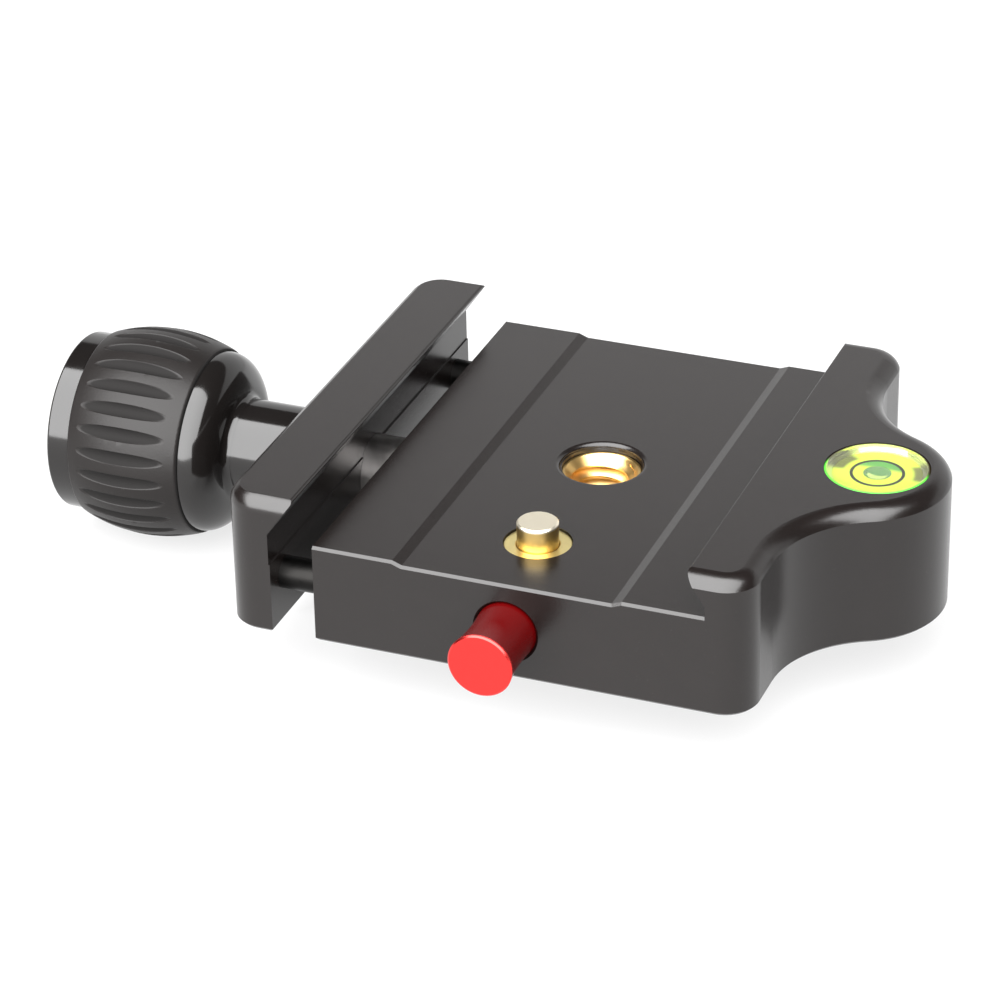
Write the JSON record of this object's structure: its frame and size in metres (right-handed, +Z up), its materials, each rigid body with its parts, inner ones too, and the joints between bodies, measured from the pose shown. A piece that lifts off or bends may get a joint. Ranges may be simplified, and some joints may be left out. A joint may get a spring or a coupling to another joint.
{
  "type": "dovetail quick release clamp",
  "caption": "Camera clamp with a fixed and a screw-driven dovetail jaw, a fluted knob, a drop-in catch pin with a push button, a round spirit level and a threaded bush.",
  "frame": {"origin": "on the mounting hole's axis at the underside", "axes": "+X from the knob to the spirit level, +Y along the dovetail, +Z up"},
  "size_m": [0.09, 0.0565, 0.021],
  "materials": {
    "black_anodised": "satin black anodised, fine blasted grain",
    "gloss_black": "gloss black",
    "rubber": "matte black, moulded",
    "brass": "turned",
    "pale_brass": "turned, pale",
    "steel": "ground",
    "dark_steel": "black oxide",
    "red_anodised": "satin red anodised",
    "clear_cup": "clear moulded acrylic",
    "green_fluid": "yellow-green spirit",
    "white_plug": "moulded"
  },
  "bodies": {
    "base": {"base_body": "black_anodised", "mount_bushing": "brass", "pin_bushing": "brass", "level_vial": "clear_cup", "level_fluid": "green_fluid", "level_plug": "white_plug", "pin_spring": "steel", "spring_plug": "brass", "button_stop_screw": "dark_steel"},
    "jaw": {"moving_jaw": "black_anodised", "guide_pin_front": "steel", "guide_pin_rear": "steel", "jaw_keeper_screw": "dark_steel", "thrust_washer": "steel"},
    "knob": {"knob_core": "gloss_black", "knob_grip": "rubber", "knob_cap": "gloss_black", "clamp_screw": "steel", "knob_roll_pin": "dark_steel"},
    "button": {"release_button": "red_anodised"},
    "catch": {"safety_pin": "pale_brass", "cross_dowel": "steel"}
  },
  "joints": [
    {"name": "knob_spin", "type": "hinge", "parent": "jaw", "child": "knob", "pos_m": [-0.0288, 0, 0.00481], "axis": [1, 0, 0], "range_deg": [-541, 1567]},
    {"name": "jaw_slide", "type": "slide", "parent": "base", "child": "jaw", "axis": [1, 0, 0], "range_m": [-0.0015, 0.00435]},
    {"name": "button_slide", "type": "slide", "parent": "base", "child": "button", "axis": [0, 1, 0], "range_m": [0, 0.0022], "stiffness_N_per_m": 800, "springref_m": -0.0015},
    {"name": "pin_slide", "type": "slide", "parent": "base", "child": "catch", "axis": [0, 0, -1], "range_m": [0, 0.0022], "deforming": ["pin_spring"]}
  ],
  "couplings": [
    {"joint": "knob_spin", "follows": "jaw_slide", "rad_per_m": 6283.2},
    {"joint": "pin_slide", "follows": "button_slide", "ratio": 1}
  ]
}
